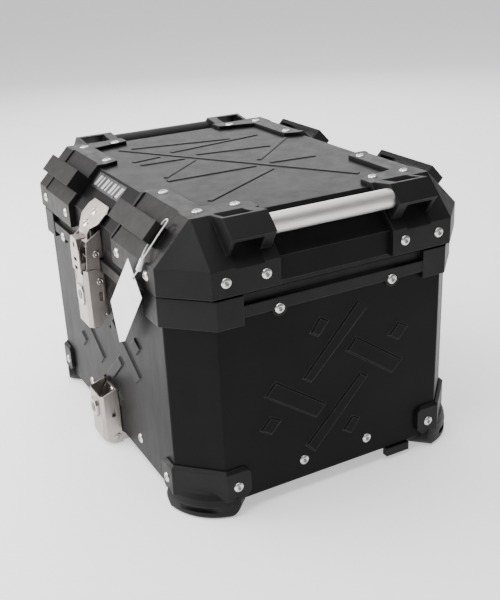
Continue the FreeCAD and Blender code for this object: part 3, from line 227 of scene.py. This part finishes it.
def braided_cord():
    """White string with a diagonal twist."""
    cord = Finish("braided_cord", (0.8, 0.8, 0.78), 0.7)
    wave = cord.add("ShaderNodeTexWave", bands_direction="DIAGONAL")
    wave.inputs["Scale"].default_value = 350
    wave.inputs["Distortion"].default_value = 1.5
    cord.link(cord.place, wave.inputs["Vector"])
    cord.use("Base Color", cord.mix(wave.outputs["Fac"], (0.6, 0.6, 0.58), (0.85, 0.85, 0.83)))
    cord.use("Normal", cord.bump(wave.outputs["Fac"], 0.0002, None, 0.6))
    return cord.material


def white_seal():
    """The small moulded seal that joins the string."""
    seal = Finish("white_seal", (0.8, 0.8, 0.79), 0.4)
    _, normal = seal.edges(0.0004)
    seal.use("Roughness", seal.range(seal.noise(200, 3), 0.32, 0.48))
    seal.use("Normal", seal.bump(seal.noise(600, 3), 0.00004, normal, 0.5))
    return seal.material


def dark_print():
    """Dark ground of the printed label."""
    ink = Finish("label_ground", (0.02, 0.02, 0.021), 0.32)
    ink.use("Roughness", ink.range(ink.noise(120, 4), 0.26, 0.4))
    ink.use("Base Color", ink.mix(ink.range(ink.noise(60, 3), 0, 1), (0.018,) * 3, (0.026,) * 3))
    return ink.material


FINISHES = {
    "dark_aluminium": powder_coat(),
    "black_plastic": moulded_black(),
    "rubber_mat": rubber(),
    "seal_rubber": rubber(),
    "brushed_tube": brushed_metal("brushed_tube", (0.74, 0.72, 0.7), 0.4, 0.56, (1, 0.04, 1), 1400),
    # The last number is the colour of the tube's painted edge highlight.
    "black_tube": moulded_black("black_tube_paint", 0.02, 0.04),
    "rivet_steel": brushed_metal("rivet_steel", (0.72, 0.71, 0.69), 0.2, 0.36, (1, 1, 1), 500, 0.0003),
    "stainless": brushed_metal("stainless", (0.46, 0.415, 0.385), 0.28, 0.42, (1, 1, 0.05), 1000, 0.0006),
    "lock_chrome": brushed_metal("lock_chrome", (0.5, 0.49, 0.48), 0.12, 0.24, (1, 1, 1), 300, 0.0005),
    "lock_brass": brushed_metal("lock_plug", (0.2, 0.185, 0.165), 0.22, 0.36, (1, 1, 1), 400, 0.0004),
    "sticker": dark_print(),
    "tag_paper": paper(),
    "string_white": braided_cord(),
    "clasp_plastic": white_seal(),
}


def finish_nodes():
    """Give every CAD node the finish of its material slot."""
    slots = {part["node"]: part["material_slot"] for part in frame["record"]["subparts"]}
    for node, obj in frame["nodes"].items():
        material = FINISHES[slots[node]]
        for slot in obj.material_slots:
            slot.link = "OBJECT"
            slot.material = material


finish_nodes()


# ---- pieces ----

def new_object(name, mesh, material, body):
    """A Blender piece that rides on a body."""
    piece = bpy.data.objects.new(name, mesh)
    piece.data.materials.append(material)
    bpy.context.collection.objects.link(piece)
    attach(piece, body)
    return piece


def add_string_and_tag():
    """The string that holds the white tag, round the strap loop's end web, in place of the CAD string."""
    route = [(152.43, -168.4, 258.47), (152.6, -161, 267), (152, -150, 279.5), (150.3, -141.6, 286.6),
             (146.3, -139.4, 288), (142.4, -141.6, 285.4), (141, -148, 277.5), (141.3, -156.5, 268),
             (144.2, -163.5, 262.2), (150.97, -168.4, 259.33)]
    curve = bpy.data.curves.new("string", "CURVE")
    curve.dimensions = "3D"
    curve.bevel_depth = 0.75 * MM
    curve.bevel_resolution = 4
    curve.resolution_u = 10
    spline = curve.splines.new("NURBS")
    spline.points.add(len(route) - 1)
    for point, place in zip(spline.points, route):
        point.co = (*(Vector(place) * MM), 1)
    spline.order_u = 3
    spline.use_endpoint_u = True
    string = bpy.data.objects.new("string", curve)
    curve.materials.append(FINISHES["string_white"])
    bpy.context.collection.objects.link(string)
    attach(string, "lid")
    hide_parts("tag_string")


add_string_and_tag()


def islands(obj):
    """Vertex places of each separate solid in a node."""
    form = bmesh.new()
    form.from_mesh(obj.data)
    bmesh.ops.remove_doubles(form, verts=form.verts[:], dist=1e-6)
    left = set(form.verts)
    groups = []
    while left:
        stack = [left.pop()]
        group = []
        while stack:
            vert = stack.pop()
            group.append(vert.co.copy())
            for edge in vert.link_edges:
                other = edge.other_vert(vert)
                if other in left:
                    left.remove(other)
                    stack.append(other)
        groups.append(group)
    form.free()
    return groups


# The way that the keeper's rivets face, out and up.
KEEPER_NORMAL = Vector((0, -0.7123, 0.7018))


def outward(node, centre):
    """The way that a rivet's head faces."""
    _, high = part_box("case_tub")
    if node == "lid_top_rivets":
        return Vector((0, 0, 1))
    if node == "keeper_rivets":
        return KEEPER_NORMAL
    if abs(centre.x) / high[0] > abs(centre.y) / high[1]:
        return Vector((math.copysign(1, centre.x), 0, 0))
    return Vector((0, math.copysign(1, centre.y), 0))


def lathe(form, centre, axis, profile, steps=20):
    """Add a turned form to a mesh from radius and height pairs."""
    turn = axis.to_track_quat("Z", "Y").to_matrix()
    rings = []
    for radius, height in profile:
        if radius == 0:
            rings.append([form.verts.new(centre + turn @ Vector((0, 0, height)))])
            continue
        angles = [2 * math.pi * i / steps for i in range(steps)]
        circle = [Vector((radius * math.cos(angle), radius * math.sin(angle), height)) for angle in angles]
        rings.append([form.verts.new(centre + turn @ place) for place in circle])
    for low, high in zip(rings, rings[1:]):
        for i in range(steps):
            j = (i + 1) % steps
            corners = [low[i % len(low)], low[j % len(low)], high[j % len(high)], high[i % len(high)]]
            unique = [vert for k, vert in enumerate(corners) if vert not in corners[:k]]
            if len(unique) > 2:
                form.faces.new(unique)


# How far below a blind rivet's top its stem starts, and how far down its points count as its head.
STEM_DOWN = 1.5 * MM
HEAD_DOWN = 2.2 * MM
# Radius and height of the broken stem inside a blind rivet, from where it starts.
STEM_PROFILE = [(1.5 * MM, 0), (1.45 * MM, 0.9 * MM), (1.1 * MM, 1.15 * MM), (0.6 * MM, 1.1 * MM),
                (0.45 * MM, 0.7 * MM), (0, 0.65 * MM)]
# Radius and height of a pin's peened end, from the side of the lever.
PEEN_PROFILE = [(3.7 * MM, -0.05 * MM), (3.7 * MM, 0.7 * MM), (3.1 * MM, 1.15 * MM), (2.4 * MM, 1.3 * MM),
                (2.2 * MM, 0.95 * MM), (1.6 * MM, 0.95 * MM), (1.4 * MM, 1.25 * MM), (0, 1.35 * MM)]
# Each latch pin, the lever whose sides it ends in, and the body it rides on.
LATCH_PINS = [("latch_pivot_pin", "latch_lever", "case"), ("latch_link_pin", "latch_lever", "latch_lever"),
              ("lower_pivot_pin", "lower_lever", "case")]


def turned_mesh(name, form):
    """A mesh from turned forms, with its faces outward."""
    mesh = bpy.data.meshes.new(name)
    bmesh.ops.recalc_face_normals(form, faces=form.faces[:])
    form.to_mesh(mesh)
    form.free()
    return mesh


def add_stems():
    """The broken stem that is left inside every blind rivet."""
    stem = brushed_metal("rivet_stem", (0.3, 0.295, 0.29), 0.35, 0.5, (1, 1, 1), 600, 0.0002)
    bodies = {node: body for body, nodes in frame["record"]["behaviour"]["bodies"].items() for node in nodes}
    for node, obj in frame["nodes"].items():
        if not node.endswith("_rivets"):
            continue
        form = bmesh.new()
        for group in islands(obj):
            centre = sum(group, Vector()) / len(group)
            axis = outward(node, centre)
            top = max(place.dot(axis) for place in group)
            head = [place for place in group if place.dot(axis) > top - HEAD_DOWN]
            middle = sum(head, Vector()) / len(head)
            seat = middle + axis * (top - STEM_DOWN - middle.dot(axis))
            lathe(form, seat, axis, STEM_PROFILE)
        mesh = turned_mesh(f"{node}_stems", form)
        new_object(f"{node}_stems", mesh, stem, bodies[node])


add_stems()


def add_pin_heads():
    """Peened ends of the latch pins, outside the levers."""
    for pin, lever, body in LATCH_PINS:
        low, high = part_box(pin)
        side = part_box(lever)[1][0]
        form = bmesh.new()
        for way in (-1, 1):
            centre = Vector((way * side, (low[1] + high[1]) / 2, (low[2] + high[2]) / 2))
            lathe(form, centre, Vector((way, 0, 0)), PEEN_PROFILE, 28)
        mesh = turned_mesh(f"{pin}_heads", form)
        for polygon in mesh.polygons:
            polygon.use_smooth = True
        new_object(f"{pin}_heads", mesh, FINISHES["stainless"], body)


add_pin_heads()


def add_label_bars():
    """Plain slanted bars printed on the lid's label."""
    low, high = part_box("lid_sticker")
    silver = Finish("label_silver", (0.42, 0.42, 0.43), 0.35, 0.6)
    silver.use("Roughness", silver.range(silver.noise(300, 3), 0.28, 0.45))
    form = bmesh.new()
    down = Vector((0, low[1] - high[1], low[2] - high[2]))
    face = Vector((0, down.z, -down.y)).normalized()
    label = frame["nodes"]["lid_sticker"]
    outer = max((label.matrix_world @ vert.co).dot(face) for vert in label.data.vertices)
    top = Vector((0, high[1], high[2]))
    top += face * (outer + 0.05 * MM - top.dot(face))
    count = 7
    # Where the bars start and end, as parts of the way down the label.
    upper, lower = 0.16, 0.84
    pitch = (high[0] - low[0]) / (count + 0.6)
    slant = pitch * 0.35
    for index in range(count):
        start = low[0] + pitch * (index + 0.35)
        width = pitch * (0.34 if index % 2 else 0.62)
        end = start + width
        ends = [(start + slant, upper), (end + slant, upper), (end, lower), (start, lower)]
        corners = [Vector((x, 0, 0)) + top + down * part for x, part in ends]
        form.faces.new([form.verts.new(corner) for corner in corners])
    mesh = bpy.data.meshes.new("label_bars")
    form.to_mesh(mesh)
    form.free()
    new_object("label_bars", mesh, silver.material, "lid")


add_label_bars()


# ---- stage ----

def add_stage():
    """A wide pale floor, just under the feet, and a pale world."""
    ground = Finish("pale_floor", (0.9, 0.9, 0.9), 0.8)
    ground.shader.inputs["Emission Color"].default_value = (1, 1, 1, 1)
    ground.shader.inputs["Emission Strength"].default_value = 0.62
    ground.shader.inputs["Specular IOR Level"].default_value = 0.1
    mesh = bpy.data.meshes.new("floor")
    reach = 40
    corners = [(-reach, -reach, 0), (reach, -reach, 0), (reach, reach, 0), (-reach, reach, 0)]
    mesh.from_pydata(corners, [], [(0, 1, 2, 3)])
    floor = bpy.data.objects.new("floor", mesh)
    floor.location.z = -0.0002
    mesh.materials.append(ground.material)
    bpy.context.collection.objects.link(floor)
    world = bpy.data.worlds.new("studio")
    world.use_nodes = True
    background = world.node_tree.nodes["Background"]
    background.inputs["Color"].default_value = (1, 1, 1, 1)
    background.inputs["Strength"].default_value = 0.3
    bpy.context.scene.world = world


def add_light(name, place, aim, size, power, colour=(1, 1, 1)):
    """A soft box at a place, turned to its aim; power in watts."""
    data = bpy.data.lights.new(name, "AREA")
    data.shape = "RECTANGLE"
    data.size, data.size_y = size
    data.energy = power
    data.color = colour
    light = bpy.data.objects.new(name, data)
    turn = (Vector(aim) - Vector(place)).to_track_quat("-Z", "Y").to_matrix().to_4x4()
    light.matrix_world = Matrix.Translation(place) @ turn
    bpy.context.collection.objects.link(light)


add_stage()
add_light("key", (-0.75, -1.15, 0.75), (-0.1, -0.25, 0.05), (1.3, 0.9), 38, (1, 0.95, 0.93))
add_light("top", (-0.2, 0.1, 2.2), (0, 0, 0.2), (2.2, 2.2), 46)
add_light("back", (-1.7, 0.9, 1.15), (0, 0, 0.25), (1.6, 1.0), 20)
add_light("over", (0.4, -1.0, 1.9), (0, -0.05, 0.2), (0.8, 0.8), 20, (0.92, 0.96, 1))
